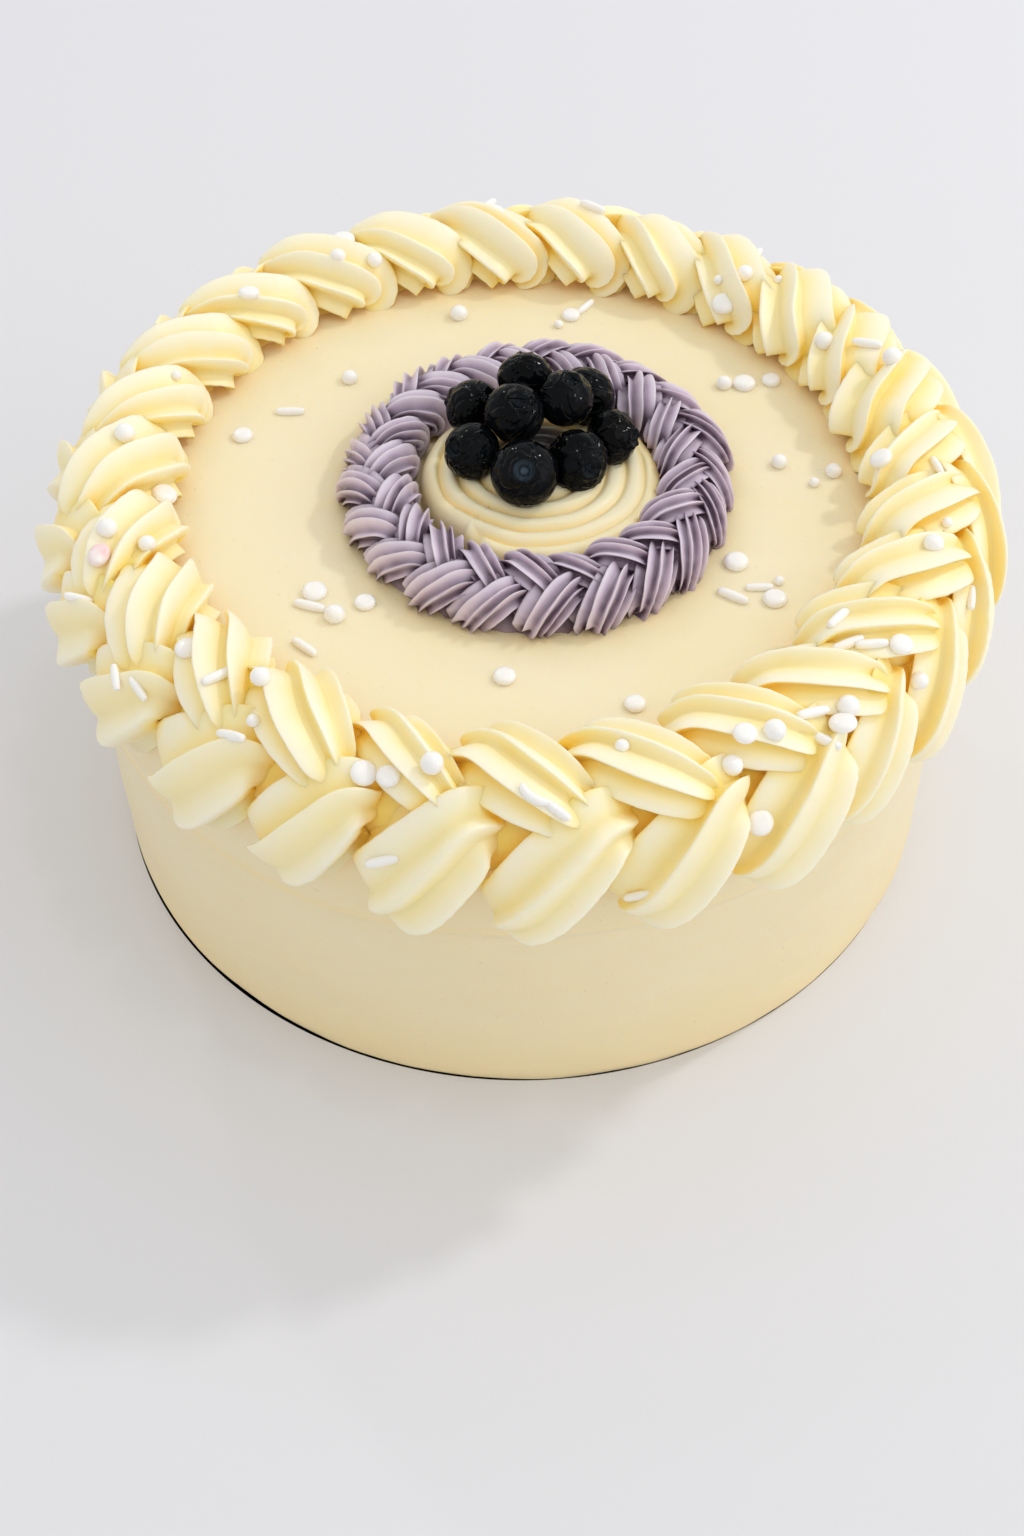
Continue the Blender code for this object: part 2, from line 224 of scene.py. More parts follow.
def paint_occlusion_shade(pieces: list[bpy.types.Object], trees: list[BVHTree], reach: float,
           rays: int = 7) -> None:
    """Add painted shade to the pieces where their neighbours shut each point in.

    Args:
        pieces: the pieces to work on.
        trees: search trees of everything that stands close.
        reach: how far a neighbour still shuts a point in.
        rays: how many ways each point looks out.
    """
    rng = np.random.default_rng(LOOK_SEED)
    for piece in pieces:
        mesh = piece.data
        points, normals = vertex_vectors(mesh, "co"), vertex_vectors(mesh, "normal")
        count = len(points)
        shut = np.zeros(count)
        starts = (points + normals * LOOK_LIFT * MM).tolist()
        for _ in range(rays):
            ways = unit(normals + LOOK_SPREAD * unit(rng.normal(size=(count, 3))))
            for i, (start, way) in enumerate(zip(starts, ways.tolist())):
                for tree in trees:
                    hit = tree.ray_cast(start, way, reach)
                    if hit[0] is not None:
                        shut[i] += 1.0 - hit[3] / reach
                        break
        shut /= rays
        edges = np.empty(len(mesh.edges) * 2, int)
        mesh.edges.foreach_get("vertices", edges)
        one, other = edges.reshape(-1, 2).T
        ties = np.bincount(edges, minlength=count)
        for _ in range(EVEN_ROUNDS):
            near = np.bincount(one, shut[other], count) + np.bincount(other, shut[one], count)
            shut = EVEN_KEPT * shut + EVEN_TAKEN * near / np.maximum(ties, 1)
        # The occlusion is painted into the colour as shade, deeper in creases and corners
        set_painted_shade_and_bloom(mesh, np.clip(painted_shade_and_bloom_of(mesh) + shut, 0.0, 1.0))


@dataclass
class NodeKit:
    """Makes one material: its Principled shader and the nodes that feed it."""

    name: str

    def __post_init__(self) -> None:
        """Start the material."""
        self.made = bpy.data.materials.new(self.name)
        self.made.use_nodes = True

    def tune(self, node: bpy.types.Node, sockets: Sockets) -> None:
        """Set a node's own sockets, or link the outputs that feed them."""
        for socket, value in sockets.items():
            if isinstance(value, bpy.types.NodeSocket):
                self.made.node_tree.links.new(value, node.inputs[socket])
            else:
                node.inputs[socket].default_value = value

    def add(self, kind: str, output: str, sockets: Sockets,
            **options: str) -> bpy.types.NodeSocket:
        """Add a node.

        Args:
            kind: its type, without "ShaderNode".
            output: the output that is wanted.
            sockets: a value or a feed for its sockets, by name or number.
            **options: its other settings.

        Returns:
            The output.
        """
        node = self.made.node_tree.nodes.new("ShaderNode" + kind)
        for option, value in options.items():
            setattr(node, option, value)
        self.tune(node, sockets)
        return node.outputs[output]

    def ramp(self, value: bpy.types.NodeSocket,
             stops: dict[float, Colour]) -> bpy.types.NodeSocket:
        """Turn a value into a colour.

        Args:
            value: what the colour follows.
            stops: the colours by their values, the lowest first.

        Returns:
            The colour.
        """
        node = self.made.node_tree.nodes.new("ShaderNodeValToRGB")
        elements = node.color_ramp.elements
        elements.remove(elements[1])
        for number, (spot, colour) in enumerate(stops.items()):
            element = elements.new(spot) if number else elements[0]
            element.position = spot
            element.color = (*colour, 1.0)
        self.tune(node, {"Fac": value})
        return node.outputs["Color"]

    def dress(self, sockets: Sockets) -> bpy.types.Material:
        """Set and feed the Principled shader, and return the material."""
        self.tune(self.made.node_tree.nodes["Principled BSDF"], sockets)
        return self.made


@dataclass(frozen=True)
class CreamFinish:
    """Buttercream, soft, with fine pores; painted shade runs it from pale ridges to deep valleys.

    `shade` is the colour of cream that lies in the dark, where there is any. Scales are waves
    in a metre.
    """

    name: str
    ridge: Colour
    middle: Colour
    valley_shade: Colour
    shade: Colour | None = None
    middle_at: float = 0.26
    valley_at: float = 0.75
    roughness: float = 0.42
    level: float = 0.45
    glow: float = 0.30
    glow_radius: Colour = (0.0030, 0.0022, 0.0012)
    mottle: float = 0.06
    mottle_scale: float = 70.0
    grain_scale: float = 900.0
    grain_share: float = 0.35
    bubble_scale: float = 260.0
    bubble_size: tuple[float, float] = (0.03, 0.12)
    pore_depth: float = 0.00012

    def material(self) -> bpy.types.Material:
        """Return the buttercream's material."""
        kit = NodeKit(self.name)
        place = kit.add("TexCoord", "Object", {})
        painted_shade_and_bloom = kit.add("Attribute", "Fac", {}, attribute_name="painted_shade_and_bloom")
        patches = kit.add("TexNoise", "Fac",
                          {"Vector": place, "Scale": self.mottle_scale, "Detail": 3.0})
        spread = kit.add("Math", "Value", {0: patches, 1: self.mottle, 2: -0.5 * self.mottle},
                         operation="MULTIPLY_ADD")
        total = kit.add("Math", "Value", {0: painted_shade_and_bloom, 1: spread}, operation="ADD")
        # Painted shade: pale ridges where the value is low, deep valleys where it is high
        stops = {0.0: self.ridge, self.middle_at: self.middle, self.valley_at: self.valley_shade}
        if self.shade:
            stops[1.0] = self.shade
        return kit.dress({
            "Roughness": self.roughness, "Specular IOR Level": self.level,
            "Subsurface Weight": self.glow, "Subsurface Radius": self.glow_radius,
            "Subsurface Scale": 1.0, "Base Color": kit.ramp(total, stops),
            "Normal": self.pores(kit, place)})

    def pores(self, kit: NodeKit, place: bpy.types.NodeSocket) -> bpy.types.NodeSocket:
        """Add the cream's fine grain and its scattered air bubbles.

        Args:
            kit: the material in the making.
            place: the place on the object.

        Returns:
            The normal of the surface.
        """
        grain = kit.add("TexNoise", "Fac",
                        {"Vector": place, "Scale": self.grain_scale, "Detail": 4.0})
        cells = kit.add("TexVoronoi", "Distance",
                        {"Vector": place, "Scale": self.bubble_scale, "Randomness": 1.0})
        low, high = self.bubble_size
        pit = kit.add("MapRange", "Result", {"Value": cells, "From Min": low, "From Max": high})
        mix = kit.add("Math", "Value", {0: grain, 1: self.grain_share, 2: pit},
                      operation="MULTIPLY_ADD")
        return kit.add("Bump", "Normal",
                       {"Height": mix, "Strength": 0.5, "Distance": self.pore_depth})


@dataclass(frozen=True)
class GlossFinish:
    """A glossy skin or glaze over one colour, with faint patches and low folds.

    `bloom` is the colour of its waxy bloom, where a mesh asks for it by its per-point values.
    """

    name: str
    colour: Colour
    # On the berries this patch colour is painted reflection; on the sprinkles it is their tone
    mottle_and_reflection_colour: Colour
    roughness: float
    coat: float
    coat_roughness: float
    mottle_scale: float
    bump: float
    glow: float = 0.0
    glow_radius: Colour = (0.0012, 0.0010, 0.0009)
    level: float = 0.5
    bloom: Colour = (0.0, 0.0, 0.0)
    mottle_and_reflection_from: float = 0.35
    mottle_and_reflection_to: float = 0.75
    fold_from: float = 0.44
    fold_to: float = 0.52
    fold_twist: float = 2.2

    def material(self) -> bpy.types.Material:
        """Return the glossy material."""
        kit = NodeKit(self.name)
        place = kit.add("TexCoord", "Object", {})
        # Patches: painted reflection on the berries, the sprinkles' own tone on the sugar
        patches = kit.add("TexNoise", "Fac",
                          {"Vector": place, "Scale": self.mottle_scale, "Detail": 5.0})
        colour = kit.ramp(patches, {self.mottle_and_reflection_from: self.colour,
                                    self.mottle_and_reflection_to: self.mottle_and_reflection_colour})
        painted_shade_and_bloom = kit.add("Attribute", "Fac", {}, attribute_name="painted_shade_and_bloom")
        mix = kit.add("Mix", "Result", {"B": (*self.bloom, 1.0), "Factor": painted_shade_and_bloom, "A": colour},
                      data_type="RGBA")
        folds = kit.add("TexNoise", "Fac", {"Vector": place, "Scale": self.mottle_scale,
                                            "Detail": 2.0, "Distortion": self.fold_twist})
        near = kit.add("MapRange", "Result",
                       {"Value": folds, "From Min": self.fold_from, "From Max": self.fold_to},
                       interpolation_type="SMOOTHSTEP")
        relief = kit.add("Bump", "Normal",
                         {"Height": near, "Strength": 1.0, "Distance": self.bump})
        return kit.dress({
            "Roughness": self.roughness, "Specular IOR Level": self.level,
            "Coat Weight": self.coat, "Coat Roughness": self.coat_roughness,
            "Subsurface Weight": self.glow, "Subsurface Radius": self.glow_radius,
            "Subsurface Scale": 1.0, "Base Color": mix, "Normal": relief})


@dataclass(frozen=True)
class StarTip:
    """The star-shaped mouth that cream is piped through.

    Each fin has its `angle` in degrees, its `gentle` and `steep` widths in degrees and the
    number of `points` that draw it. `depth` is the fins' share of the radius, and `lean` in
    degrees is how far their crests are drawn over. The points crowd within `crowd_reach` degrees
    of a crest, and painted shade marks a crease at the foot of each steep side.
    """

    angles: tuple[float, ...]
    gentle: tuple[float, ...]
    steep: tuple[float, ...]
    points: tuple[int, ...]
    depth: float
    lean: float
    crowd: float = 3.5
    crowd_reach: float = 7.0
    sharpness: float = 1.5
    crease_at: float = 1.9
    crease_width: float = 1.1

    def bounds(self) -> np.ndarray:
        """Return the angles of the valleys, from before the first fin to after the last."""
        angles = np.array(self.angles)
        wrapped = np.concatenate([[angles[-1] - 360.0], angles, [angles[0] + 360.0]])
        return 0.5 * (wrapped[:-1] + wrapped[1:])

    def spins(self) -> tuple[np.ndarray, np.ndarray]:
        """Return the angles of the section's points, and the fin that each one is on."""
        edges = self.bounds()
        spots, owners = [], []
        for fin, number in enumerate(self.points):
            fine = np.linspace(edges[fin], edges[fin + 1], 400)
            off = (fine - self.angles[fin]) / self.crowd_reach
            total = np.cumsum(1.0 + self.crowd * np.exp(-off ** 2))
            total = (total - total[0]) / (total[-1] - total[0])
            spots.append(np.interp(np.arange(number) / number, total, fine))
            owners.append(np.full(number, fin))
        return np.concatenate(spots), np.concatenate(owners)

    def relief(self, spin: np.ndarray) -> tuple[np.ndarray, np.ndarray]:
        """Work out the fins, and where painted crease shade lies at their steep feet.

        Args:
            spin: angles in degrees.

        Returns:
            How high the fins stand, 0 to 1, and how close a steep foot is, 0 to 1.
        """
        rise = np.zeros_like(spin)
        crease = np.zeros_like(spin)
        for angle, gentle, steep in zip(self.angles, self.gentle, self.steep):
            off = np.mod(spin - angle + 180.0, 360.0) - 180.0
            width = np.where(off < 0.0, gentle, steep)
            rise = np.maximum(rise, np.exp(-np.abs(off / width) ** self.sharpness))
            # The crease feeds only painted shade at the steep feet, not the surface.
            foot = (off - self.crease_at * steep) / (self.crease_width * steep)
            crease = np.maximum(crease, np.exp(-foot ** 2))
        return rise, crease


class Row(Enum):
    """The two rows of shells of a braided ring."""

    OUTER = 1
    INNER = -1


@dataclass(frozen=True)
class ShellForm:
    """One piped shell, as knots at even steps from its head to its tail.

    Lengths are in millimetres: `along` the ring, `out` from the line where the rows meet, `up`
    from the cake's top, the half width and half height of the cream, and `petal`, how far the
    crests are drawn out past the head. `twist` and `tilt` in degrees turn the section, along the
    shell and all over. The head is rounded over `head_share` of the shell and the fins rise over
    `fin_share` of it. Its back faces up by `facing` degrees, mixed by the share `turning` with
    the way out of the ring's core.
    """

    along: tuple[float, ...]
    out: tuple[float, ...]
    up: tuple[float, ...]
    half_width: tuple[float, ...]
    half_height: tuple[float, ...]
    twist: float
    petal: float
    tilt: float
    head_share: float
    fin_share: float
    facing: float = 45.0
    turning: float = 1.0


@dataclass(frozen=True)
class PipingHand:
    """How much one shell differs from the next: shares, `shift` in mm and turns in degrees."""

    size: float = 0.06
    stretch: float = 0.05
    shift: float = 0.6
    out: float = 0.035
    up: float = 0.04
    fin_size: float = 0.10
    fin_turn: float = 3.5
    fin_length: float = 0.5
    turn: float = 5.0
    wave: float = 0.07
    nick: float = 0.03
    wave_turn: float = 4.0


@dataclass
class BraidedRing:
    """A ring of reverse shells: two rows whose tails meet along one circle.

    Azimuths and `crowding` are in degrees. The core lies `core_drop` below the cake's top.
    `bed` is the half width, rise and drop of the cream below the shells. `pushed_out` in
    millimetres and `held_up` as a share are local changes: azimuth, spread and size. `oval`
    stretches the ring sideways and in depth, and the shells at the back are `fuller_back` bigger.
    """

    node: str
    centre: Vector
    radius: float
    core_drop: float
    pairs: int
    start: float
    tips: dict[Row, StarTip]
    outer: ShellForm
    inner: ShellForm
    finish: CreamFinish
    slot: str
    seed: int
    bed: tuple[float, float, float]
    crowding: float = 0.0
    crowded_at: float = 0.0
    # Painted shade: at the fins' steep feet, between the fins, and on the bed under the shells
    crease_shade_share: float = 0.16
    valley_shade_share: float = 0.12
    bed_painted_shade: float = 0.25
    fuller_back: float = 0.0
    pushed_out: Spot = (0.0, 1.0, 0.0)
    held_up: Spot = (0.0, 1.0, 0.0)
    oval: tuple[float, float] = (1.0, 1.0)
    rings: int = 50
    tail_share: float = 0.08
    petal_share: float = 0.10
    thinnest: float = 0.02
    hand: PipingHand = PipingHand()
    batches: dict[Row, MeshBatch] = field(default_factory=dict)

    def azimuth(self, number: float) -> float:
        """Return the azimuth of a shell's tail, in radians."""
        even = self.start + 360.0 * number / self.pairs
        crowd = self.crowding * math.sin(math.radians(even - self.crowded_at))
        return math.radians(even + crowd)

    @staticmethod
    def local(spot: Spot, azimuth: float) -> float:
        """Return how much of a local change is left at an azimuth.

        Args:
            spot: the change's azimuth and spread in degrees, and its full size.
            azimuth: where it is wanted, in radians.

        Returns:
            The size of the change there.
        """
        off = math.remainder(azimuth - math.radians(spot[0]), math.tau)
        return spot[2] * math.exp(-(math.degrees(off) / spot[1]) ** 2)

    def stretched(self, points: np.ndarray) -> np.ndarray:
        """Return points of the ring, stretched to its oval."""
        middle = np.array(self.centre)
        return middle + (points - middle) * np.array([*self.oval, 1.0])

    def axes(self, form: ShellForm, side: float, path: np.ndarray, turn: np.ndarray,
             away: np.ndarray) -> tuple[np.ndarray, np.ndarray, np.ndarray]:
        """Work out the axes of a shell's sections.

        Args:
            form: the shell's form.
            side: 1 in the outer row and -1 in the inner one.
            path: the points of its line.
            turn: their azimuths.
            away: the ways to them from the ring's core.

        Returns:
            The unit vectors ahead along the line, across it, and out of the shell's back.
        """
        ahead = unit(np.gradient(path, axis=0))
        held = math.radians(form.facing)
        fixed = np.stack([side * math.cos(held) * np.cos(turn),
                          side * math.cos(held) * np.sin(turn),
                          math.sin(held) + 0.0 * turn], axis=-1)
        back = form.turning * unit(away) + (1.0 - form.turning) * fixed
        across = unit(np.cross(ahead, back))
        normal = np.cross(across, ahead)
        tilt = math.radians(form.tilt) * side
        return (ahead, across * math.cos(tilt) - normal * math.sin(tilt),
                normal * math.cos(tilt) + across * math.sin(tilt))

    def shell(self, row: Row, number: int,
              rng: np.random.Generator) -> tuple[np.ndarray, np.ndarray]:
        """Work out one shell.

        Args:
            row: the row that it is in.
            number: its number round the ring.
            rng: the seeded source of its small differences.

        Returns:
            Its points as (rings, around, 3), and the painted shade at each.
        """
        form = self.outer if row is Row.OUTER else self.inner
        hand, tip, side = self.hand, self.tips[row], float(row.value)
        azimuth = self.azimuth(number + (0.0 if row is Row.OUTER else 0.5))
        size = 1.0 + hand.size * rng.normal() + self.fuller_back * max(math.sin(azimuth), 0.0)
        steps = np.linspace(0.0, 1.0, self.rings) ** 1.25
        along = through(form.along, steps) * (1.0 + hand.stretch * rng.normal())
        along = along + hand.shift * rng.normal() * size
        out = through(form.out, steps) + hand.out * form.out[0] * rng.normal()
        out = out + self.local(self.pushed_out, azimuth)
        up = through(form.up, steps) + hand.up * max(form.up) * rng.normal()
        up = up - np.minimum(up, 0.0) * self.local(self.held_up, azimuth)
        turn = azimuth + along * MM / self.radius
        radius = self.radius + out * MM
        path = np.stack([self.centre.x + radius * np.cos(turn),
                         self.centre.y + radius * np.sin(turn), CAKE_HEIGHT + up * MM], axis=-1)
        off = radius - self.radius
        away = np.stack([off * np.cos(turn), off * np.sin(turn), up * MM + self.core_drop],
                        axis=-1)
        ahead, across, normal = self.axes(form, side, path, turn, away)
        left = 1.0 - np.minimum(steps / form.head_share, 1.0)
        head = np.maximum(np.clip(1.0 - left ** 2.3, 0.0, 1.0) ** 0.48, self.thinnest)
        left = 1.0 - np.minimum(steps / form.fin_share, 1.0)
        swell = np.clip(1.0 - left ** 2, 0.0, 1.0) ** 0.6
        past = np.maximum((steps - (1.0 - self.tail_share)) / self.tail_share, 0.0)
        tail = np.maximum(np.sqrt(np.clip(1.0 - past ** 2, 0.0, 1.0)), self.thinnest)
        half_width = through(form.half_width, steps) * MM * size * head * tail
        half_height = through(form.half_height, steps) * MM * size * head * tail
        spin, owner = tip.spins()
        rise, crease = tip.relief(spin)
        fins = len(tip.angles)
        fin_sizes = 1.0 + hand.fin_size * rng.normal(size=fins)
        fin_turns = hand.fin_turn * rng.normal(size=fins)
        fin_lengths = np.clip(1.0 + hand.fin_length * rng.normal(size=fins), 0.1, 2.0)
        still = np.zeros((self.rings, len(spin)))
        wave = smooth_noise(np.stack([steps[:, None] * 1.6 + still, spin[None, :] / 120.0 + still,
                                      still + number * 3.7], axis=-1), self.seed, 2)
        nicks = smooth_noise(np.stack([steps[:, None] * 12.0 + still, spin[None, :] / 60.0 + still,
                                       still + number * 1.9], axis=-1), self.seed + 50, 2)
        tall = swell[:, None] * (rise * fin_sizes[owner])[None, :]
        uneven = 1.0 + hand.wave * wave + hand.nick * nicks
        reach = 1.0 - tip.depth + tip.depth * tall * uneven
        twist = side * form.twist * (steps - 0.5) + hand.turn * rng.uniform(-1.0, 1.0)
        lean = (tip.lean + fin_turns[owner]) * rise
        angle = np.radians(spin[None, :] + twist[:, None] + lean[None, :]
                           + hand.wave_turn * wave * rise[None, :])
        if row is Row.INNER:
            angle = math.pi - angle
        points = (path[:, None, :]
                  + across[:, None, :] * (half_width[:, None] * reach * np.cos(angle))[..., None]
                  + normal[:, None, :] * (half_height[:, None] * reach * np.sin(angle))[..., None])
        petal = form.petal * MM * size * rise * fin_lengths[owner]
        drawn = petal[None, :] * np.exp(-steps / self.petal_share)[:, None]
        points = points - ahead[:, None, :] * drawn[..., None]
        # Painted highlight on the crests, painted shade in the valleys and at the steep feet
        painted_shade_and_bloom = self.crease_shade_share * crease + self.valley_shade_share * (1.0 - rise)
        return self.stretched(points), painted_shade_and_bloom[None, :] + still

    def add_bed(self, batch: MeshBatch) -> None:
        """Add the low bed of cream that shows in the gaps between the shells."""
        turn = np.linspace(0.0, math.tau, 200)
        spin = np.linspace(0.0, math.tau, 12, endpoint=False)
        half_width, rise, drop = self.bed
        uneven = 1.0 + 0.10 * smooth_noise(level_ways(turn) * 9.0, self.seed + 90, 2)
        pushed = np.array([self.local(self.pushed_out, angle) for angle in turn]) * MM
        radius = (self.radius + pushed[:, None]
                  + half_width * np.cos(spin)[None, :] * uneven[:, None])
        height = CAKE_HEIGHT - drop + (rise + drop) * np.sin(spin)[None, :] + 0.0 * turn[:, None]
        points = np.stack([self.centre.x + radius * np.cos(turn)[:, None],
                           self.centre.y + radius * np.sin(turn)[:, None], height], axis=-1)
        # The bed lies under the shells and is painted with an even shade
        batch.add_tube(self.stretched(points), np.full(radius.shape, self.bed_painted_shade))

    def build(self) -> list[bpy.types.Object]:
        """Build both rows and let them stand for the ring's solid."""
        rng = np.random.default_rng(self.seed)
        pieces = []
        material = self.finish.material()
        for row in Row:
            batch = MeshBatch()
            if row is Row.INNER:
                self.add_bed(batch)
            for number in range(self.pairs):
                batch.add_tube(*self.shell(row, number, rng))
            self.batches[row] = batch
            piece = batch.build(f"{self.node}_{row.name.lower()}_shells", material)
            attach(piece, ROOT_BODY)
            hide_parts(self.node)
            pieces.append(piece)
        return pieces

    def trees(self) -> list[BVHTree]:
        """Return the search trees of both rows."""
        return [batch.tree() for batch in self.batches.values()]


@dataclass
class IcedCake:
    """The iced cake itself: a flat top, a soft edge, and a scraped side with a low ledge."""

    finish: CreamFinish
    ledge_height: float = 55.0 * MM
    ledge_depth: float = 1.6 * MM
    ledge_azimuth: float = -138.0
    ledge_ripple: float = 1.2 * MM
    side_wave: float = 0.25 * MM
    side_streak: float = 0.14 * MM
    foot_pull: float = 0.9 * MM
    foot_height: float = 4.0 * MM
    foot_shade_height: float = 14.0 * MM
    top_wave: float = 0.12 * MM
    top_drop: float = 0.1 * MM
    around: int = 400
    top_rings: int = 34
    edge_rings: int = 8
    side_rings: int = 60
    batch: MeshBatch = field(default_factory=MeshBatch)

    def profile(self) -> list[tuple[float, float]]:
        """Return the section from the middle of the top to the foot, as (radius, height)."""
        flat = CAKE_RADIUS - TOP_EDGE_RADIUS
        section = [(flat * (i + 0.02) / self.top_rings, CAKE_HEIGHT)
                   for i in range(self.top_rings)]
        for i in range(self.edge_rings + 1):
            turn = 0.5 * math.pi * i / self.edge_rings
            section.append((flat + TOP_EDGE_RADIUS * math.sin(turn),
                            CAKE_HEIGHT - TOP_EDGE_RADIUS * (1.0 - math.cos(turn))))
        fine = np.linspace(0.0, CAKE_HEIGHT - TOP_EDGE_RADIUS, 800)
        crowd = np.cumsum(1.0 + 4.0 * np.exp(-((fine - self.ledge_height) / (3.0 * MM)) ** 2)
                          + 2.0 * np.exp(-(fine / (3.0 * MM)) ** 2))
        crowd = (crowd - crowd[0]) / (crowd[-1] - crowd[0])
        for i in range(1, self.side_rings + 1):
            height = float(np.interp(1.0 - i / self.side_rings, crowd, fine))
            section.append((CAKE_RADIUS, height))
        section.append((CAKE_RADIUS - 1.2 * MM, 0.0))
        section.append((1.0 * MM, 0.0))
        return section

    def build(self) -> bpy.types.Object:
        """Build the cake and let it stand for the body's solid."""
        section = np.array(self.profile())
        turn = np.linspace(0.0, math.tau, self.around, endpoint=False)
        radius = section[:, None, 0] * np.ones_like(turn)[None, :]
        height = section[:, None, 1] * np.ones_like(turn)[None, :]
        places = np.stack([radius * np.cos(turn), radius * np.sin(turn), height], axis=-1)
        side = (section[:, 0] > CAKE_RADIUS - 0.5 * MM)[:, None]
        top = (section[:, 1] > CAKE_HEIGHT - 0.1 * MM)[:, None]
        waves = smooth_noise(places * np.array([22.0, 22.0, 60.0]), 4)
        streaks = smooth_noise(places * np.array([14.0, 14.0, 420.0]), 8, 2)
        low = 1.0 - np.clip(height / self.foot_height, 0.0, 1.0)
        facing = np.cos(turn[None, :] - math.radians(self.ledge_azimuth))
        strength = 0.35 + 0.65 * np.clip(facing, 0.0, 1.0) ** 3
        ripple = self.ledge_ripple * smooth_noise(places * np.array([9.0, 9.0, 0.0]), 9, 2)
        over = self.ledge_height + ripple - height
        below = 0.5 + 0.5 * np.tanh(over / (0.5 * MM))
        lip = np.exp(-((over + 1.0 * MM) / (1.2 * MM)) ** 2)
        moved = (self.side_wave * (waves - 1.0) + self.side_streak * streaks
                 - self.foot_pull * low ** 2 * (1.0 + 0.6 * streaks)
                 + self.ledge_depth * strength * (0.4 * lip - 0.6 * below))
        radius = radius + np.where(side, moved, 0.0)
        lift = self.top_wave * smooth_noise(places * np.array([38.0, 60.0, 1.0]), 6)
        height = height + np.where(top, lift - self.top_drop, 0.0)
        points = np.stack([radius * np.cos(turn), radius * np.sin(turn), height], axis=-1)
        # Painted shade towards the foot; the side and the ledge's lip are deeper, the waves add
        # tone
        shade = np.exp(-section[:, None, 1] / self.foot_shade_height)
        painted_shade_and_bloom = 0.12 + 0.08 * waves + np.where(side, 0.14 + 0.50 * shade + 0.25 * strength * lip,
                                                0.0)
        self.batch.add_tube(points[::-1], painted_shade_and_bloom[::-1])
        piece = self.batch.build("cake_icing_skin", self.finish.material())
        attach(piece, ROOT_BODY)
        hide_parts("cake_body")
        return piece


@dataclass
class CreamSwirl:
    """A flat rosette of cream, laid round and round inwards and up into a low mound."""

    finish: CreamFinish
    reach: float = 30.4 * MM
    pitch: float = 4.3 * MM
    start: float = -129.0
    edge: float = 3.6 * MM
    edge_height: float = 6.4 * MM
    wobble: float = 0.35 * MM
    taper: float = 0.05
    drift: float = 0.10
    rise: float = 1.6 * MM
    mound: float = 3.0 * MM
    mound_reach: float = 12.0 * MM
    ridge: float = 1.7 * MM
    heap_reach: float = 11.5 * MM
    around: int = 300
    rings: int = 84
    wall_rings: int = 12
    batch: MeshBatch = field(default_factory=MeshBatch)

    def build(self) -> bpy.types.Object:
        """Build the swirl and let it stand for its solid."""
        turn = np.linspace(0.0, 1.0, self.around, endpoint=False)[None, :]
        azimuth = math.radians(self.start) + math.tau * turn
        wobble = self.wobble * smooth_noise(level_ways(azimuth) * 0.9, 21, 2)
        taper = np.clip(turn / self.taper, 0.0, 1.0) ** 0.6
        outer = self.reach - self.pitch * (turn + 1.0 - taper) + wobble
        radius = np.linspace(0.02, 1.0, self.rings)[:, None] * (outer - self.edge)
        flat = radius[..., None] * level_ways(azimuth)
        drift = self.drift * smooth_noise(flat * 45.0, 23, 2)
        phase = np.mod((self.reach - self.pitch * turn - radius) / self.pitch + drift, 1.0)
        crest = 1.0 - np.abs(2.0 * phase ** 1.3 - 1.0) ** 2.6
        strength = self.ridge * (0.85 + 0.3 * smooth_noise(flat * 25.0, 29, 2))
        inward = np.clip(0.88 - radius / self.reach, 0.0, 1.0)
        height = (self.edge_height - 0.6 * MM + self.rise * inward
                  + self.mound * np.exp(-(radius / self.mound_reach) ** 2) + strength * crest)
        wall_turn = np.linspace(0.0, 1.0, self.wall_rings + 1)[1:, None] * 0.5 * math.pi
        wall_radius = outer - self.edge + self.edge * np.sin(wall_turn)
        wall_height = height[-1:] * np.cos(wall_turn) ** 0.75
        floor = np.concatenate([wall_radius[-1:] - 0.8 * MM, 0.0 * wall_radius[-1:] + 1.0 * MM])
        radius = np.concatenate([radius, wall_radius, floor])
        height = np.concatenate([height, wall_height, np.zeros_like(floor)])
        points = np.stack([MIDDLE.x + radius * np.cos(azimuth),
                           MIDDLE.y + radius * np.sin(azimuth), CAKE_HEIGHT + height], axis=-1)
        crests = np.concatenate([crest, np.repeat(crest[-1:], len(radius) - len(crest), axis=0)])
        # Painted shade in the creases between the coils
        self.batch.add_tube(points, 0.42 * (1.0 - crests) ** 1.3)
        piece = self.batch.build("cream_swirl_coils", self.finish.material())
        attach(piece, ROOT_BODY)
        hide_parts("cream_swirl")
        return piece

    def shade_heap(self, piece: bpy.types.Object, spot: Vector) -> None:
        """Mark the cream that lies in the dark under the heap of berries.

        Args:
            piece: the built swirl.
            spot: the middle of the heap.
        """
        points = vertex_vectors(piece.data, "co")
        away = np.hypot(points[:, 0] - spot.x, points[:, 1] - spot.y)
        share = np.exp(-(away / self.heap_reach) ** 6)
        set_painted_shade_and_bloom(piece.data, np.minimum(painted_shade_and_bloom_of(piece.data), 0.7) * (1.0 - share) + share)


